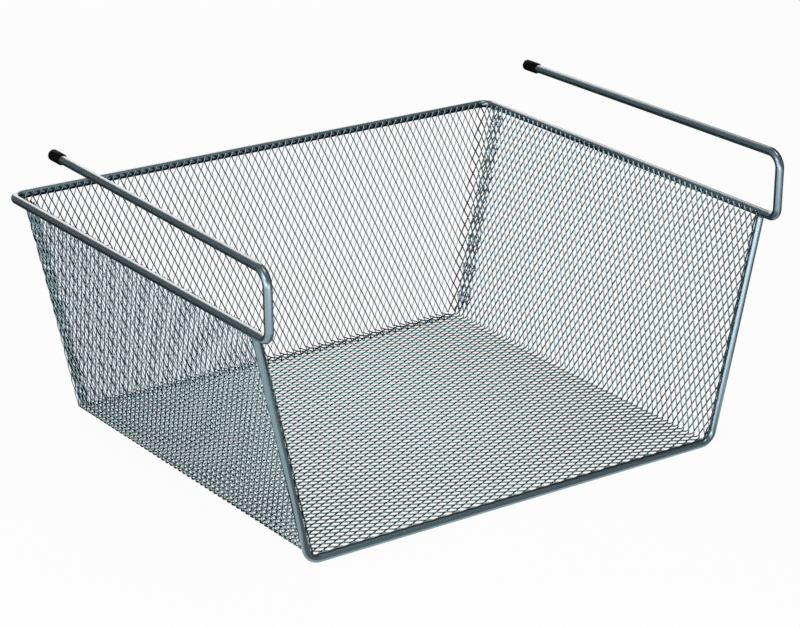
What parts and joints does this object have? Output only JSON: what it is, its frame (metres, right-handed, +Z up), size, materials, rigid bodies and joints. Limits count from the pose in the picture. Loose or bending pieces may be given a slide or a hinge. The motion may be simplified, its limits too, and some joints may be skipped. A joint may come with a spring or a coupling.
{
  "type": "under shelf basket",
  "caption": "Open-fronted basket of expanded metal mesh on a bent wire frame, whose two long wire arms slide over a shelf board to hang it below.",
  "frame": {"origin": "on the ground under the middle of the rim, midway between the two sides and between the risers and the back rim", "axes": "+Z up, +X to the right seen from the open front, the open front faces -Y"},
  "size_m": [0.361, 0.2992, 0.1853],
  "materials": {
    "wire_paint": "satin metallic silver grey",
    "mesh_paint": "satin metallic dark grey",
    "cap_rubber": "matte black"
  },
  "bodies": {
    "root": {"hanger_rim_wire": "wire_paint", "front_frame_wire": "wire_paint", "floor_mesh": "mesh_paint", "left_wall_mesh": "mesh_paint", "right_wall_mesh": "mesh_paint", "back_mesh_panel": "mesh_paint", "left_end_cap": "cap_rubber", "right_end_cap": "cap_rubber"}
  },
  "joints": []
}
